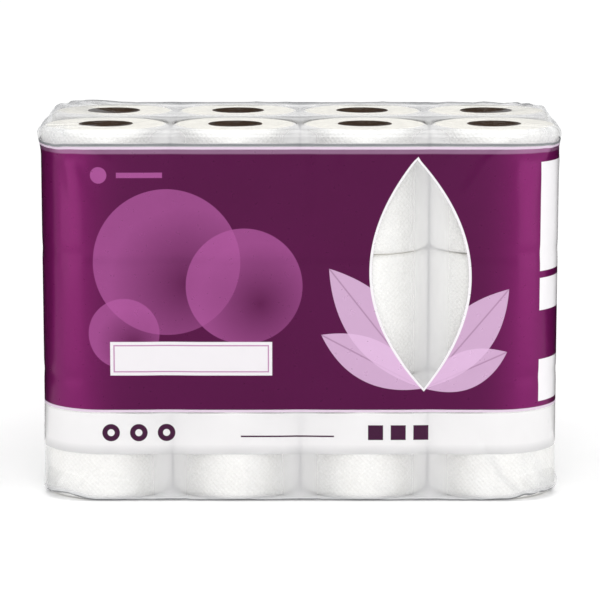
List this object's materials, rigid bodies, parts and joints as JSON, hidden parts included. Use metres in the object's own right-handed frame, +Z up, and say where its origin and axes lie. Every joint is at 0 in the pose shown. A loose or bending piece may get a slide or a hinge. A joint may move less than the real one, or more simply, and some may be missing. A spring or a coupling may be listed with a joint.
{
  "type": "toilet paper roll pack",
  "caption": "Rectangular pack of upright toilet paper rolls standing in layers inside one tight glossy film bag, printed round its middle and clear at top and bottom.",
  "frame": {"origin": "middle of the bag's bottom face, on the surface it stands on", "axes": "+X along the pack's width, the front looks along -Y, +Z up"},
  "size_m": [0.4138, 0.2074, 0.2982],
  "materials": {
    "tissue": "soft embossed tissue",
    "card": "plain wound card",
    "film": "glossy film, clear and printed"
  },
  "bodies": {
    "root": {"roll_layer1_row1_column1": "tissue", "core_layer1_row1_column1": "card", "roll_layer1_row1_column2": "tissue", "core_layer1_row1_column2": "card", "roll_layer1_row1_column3": "tissue", "core_layer1_row1_column3": "card", "roll_layer1_row1_column4": "tissue", "core_layer1_row1_column4": "card", "roll_layer1_row2_column1": "tissue", "core_layer1_row2_column1": "card", "roll_layer1_row2_column2": "tissue", "core_layer1_row2_column2": "card", "roll_layer1_row2_column3": "tissue", "core_layer1_row2_column3": "card", "roll_layer1_row2_column4": "tissue", "core_layer1_row2_column4": "card", "roll_layer2_row1_column1": "tissue", "core_layer2_row1_column1": "card", "roll_layer2_row1_column2": "tissue", "core_layer2_row1_column2": "card", "roll_layer2_row1_column3": "tissue", "core_layer2_row1_column3": "card", "roll_layer2_row1_column4": "tissue", "core_layer2_row1_column4": "card", "roll_layer2_row2_column1": "tissue", "core_layer2_row2_column1": "card", "roll_layer2_row2_column2": "tissue", "core_layer2_row2_column2": "card", "roll_layer2_row2_column3": "tissue", "core_layer2_row2_column3": "card", "roll_layer2_row2_column4": "tissue", "core_layer2_row2_column4": "card", "roll_layer3_row1_column1": "tissue", "core_layer3_row1_column1": "card", "roll_layer3_row1_column2": "tissue", "core_layer3_row1_column2": "card", "roll_layer3_row1_column3": "tissue", "core_layer3_row1_column3": "card", "roll_layer3_row1_column4": "tissue", "core_layer3_row1_column4": "card", "roll_layer3_row2_column1": "tissue", "core_layer3_row2_column1": "card", "roll_layer3_row2_column2": "tissue", "core_layer3_row2_column2": "card", "roll_layer3_row2_column3": "tissue", "core_layer3_row2_column3": "card", "roll_layer3_row2_column4": "tissue", "core_layer3_row2_column4": "card", "film_wrap": "film"}
  },
  "joints": []
}
